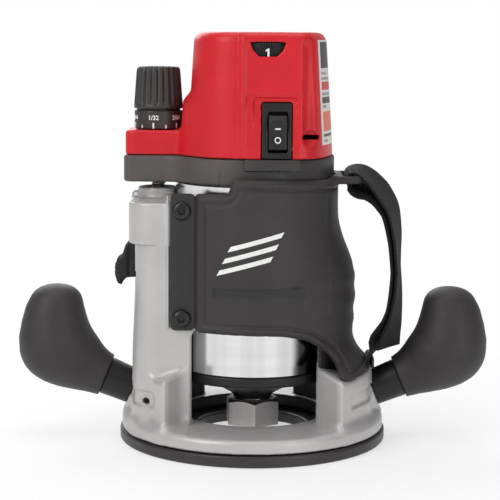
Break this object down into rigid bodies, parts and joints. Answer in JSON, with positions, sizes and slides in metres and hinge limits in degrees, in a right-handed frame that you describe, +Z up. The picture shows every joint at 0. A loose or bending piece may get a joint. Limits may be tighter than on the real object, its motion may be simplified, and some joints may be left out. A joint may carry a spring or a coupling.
{
  "type": "fixed-base router",
  "caption": "Fixed-base woodworking router: motor unit in a cast clamp base with body grip, hand strap, side knobs and screw depth adjuster.",
  "frame": {"origin": "bottom centre of the sub-base, on the motor axis", "axes": "+Z up along the motor axis, -Y towards the switch, +X towards the hand strap, -X towards the depth adjuster"},
  "size_m": [0.2674, 0.1524, 0.231],
  "materials": {
    "silver_paint": "satin cast metal with a fine silver-grey paint",
    "red_shell": "semi-gloss moulded nylon",
    "charcoal_shell": "satin moulded plastic",
    "black_plastic": "satin moulded plastic",
    "grip_rubber": "matt over-moulded rubber",
    "webbing": "woven nylon webbing",
    "motor_aluminium": "turned and polished",
    "steel": "machined steel",
    "copper": "copper and brass electrical parts",
    "carbon": "pressed carbon",
    "board": "printed circuit board",
    "label": "plain printed card under film"
  },
  "bodies": {
    "base": {"base_casting": "silver_paint", "sub_base": "black_plastic", "sub_base_screw_1": "steel", "sub_base_screw_2": "steel", "sub_base_screw_3": "steel", "left_handle_grip": "grip_rubber", "left_handle_ferrule": "black_plastic", "left_handle_stud": "steel", "left_set_screw": "steel", "right_handle_grip": "grip_rubber", "right_handle_ferrule": "black_plastic", "right_handle_stud": "steel", "right_set_screw": "steel", "body_grip": "grip_rubber", "grip_screw_1": "steel", "grip_screw_2": "steel", "grip_screw_3": "steel", "grip_screw_4": "steel", "hand_strap": "webbing", "strap_anchor": "steel", "lever_pin": "steel", "lever_spring": "steel", "clamp_bolt": "steel", "clamp_nut": "steel"},
    "release_lever": {"release_lever": "black_plastic"},
    "clamp_lever": {"clamp_lever": "black_plastic"},
    "motor": {"motor_housing": "motor_aluminium", "lower_bearing_housing": "black_plastic", "lower_bearing": "steel", "end_bell": "charcoal_shell", "upper_bearing": "steel", "rod_bushing": "steel", "top_cap": "red_shell", "rating_label": "label", "cap_screw_1": "steel", "cap_screw_2": "steel", "switch_bezel": "black_plastic", "speed_board": "board", "cord_gland": "black_plastic", "field_stator": "steel", "fan_baffle": "black_plastic", "brush_holder_left": "copper", "brush_holder_right": "copper", "carbon_brush_left": "carbon", "carbon_brush_right": "carbon"},
    "rotor": {"armature_shaft": "steel", "armature_core": "steel", "winding_lower": "copper", "winding_upper": "copper", "commutator": "copper", "cooling_fan": "black_plastic"},
    "collet": {"collet": "steel"},
    "collet_nut": {"collet_nut": "steel"},
    "depth_knob": {"depth_knob": "black_plastic", "depth_rod": "steel"},
    "depth_ring": {"depth_ring": "black_plastic"},
    "switch_rocker": {"switch_rocker": "black_plastic"},
    "speed_dial": {"speed_dial": "black_plastic"}
  },
  "joints": [
    {"name": "depth_slide", "type": "slide", "parent": "base", "child": "motor", "axis": [0, 0, 1], "range_m": [-0.0035, 0.04]},
    {"name": "depth_knob_turn", "type": "hinge", "parent": "motor", "child": "depth_knob", "pos_m": [-0.0542, 0, 0.2], "axis": [0, 0, 1], "range_deg": [-535, 6060]},
    {"name": "depth_ring_turn", "type": "hinge", "parent": "depth_knob", "child": "depth_ring", "pos_m": [-0.0542, 0, 0.183], "axis": [0, 0, 1], "continuous": true},
    {"name": "release_lever_press", "type": "hinge", "parent": "base", "child": "release_lever", "pos_m": [-0.065, 0, 0.097], "axis": [0, -1, 0], "range_deg": [0, 10], "stiffness_Nm_per_rad": 0.3, "springref_deg": -17.19},
    {"name": "clamp_lever_swing", "type": "hinge", "parent": "base", "child": "clamp_lever", "pos_m": [-0.0157, 0.056, 0.112], "axis": [1, 0, 0], "range_deg": [0, 110]},
    {"name": "switch_rocker_tilt", "type": "hinge", "parent": "motor", "child": "switch_rocker", "pos_m": [0.0126, -0.0405, 0.177], "axis": [-1, 0, 0], "range_deg": [0, 14]},
    {"name": "speed_dial_turn", "type": "hinge", "parent": "motor", "child": "speed_dial", "pos_m": [0.00705, -0.0304, 0.221], "axis": [0, 0, 1], "range_deg": [0, 270]},
    {"name": "rotor_spin", "type": "hinge", "parent": "motor", "child": "rotor", "pos_m": [0, 0, 0.1], "axis": [0, 0, 1], "continuous": true},
    {"name": "collet_release", "type": "slide", "parent": "rotor", "child": "collet", "axis": [0, 0, -1], "range_m": [0, 0.005]},
    {"name": "collet_nut_turn", "type": "hinge", "parent": "collet", "child": "collet_nut", "pos_m": [0, 0, 0.015], "axis": [0, 0, -1], "range_deg": [-5, 1205]}
  ],
  "couplings": [
    {"joint": "depth_knob_turn", "follows": "depth_slide", "rad_per_m": 2638.6},
    {"joint": "collet_nut_turn", "follows": "collet_release", "rad_per_m": 4188.8}
  ]
}
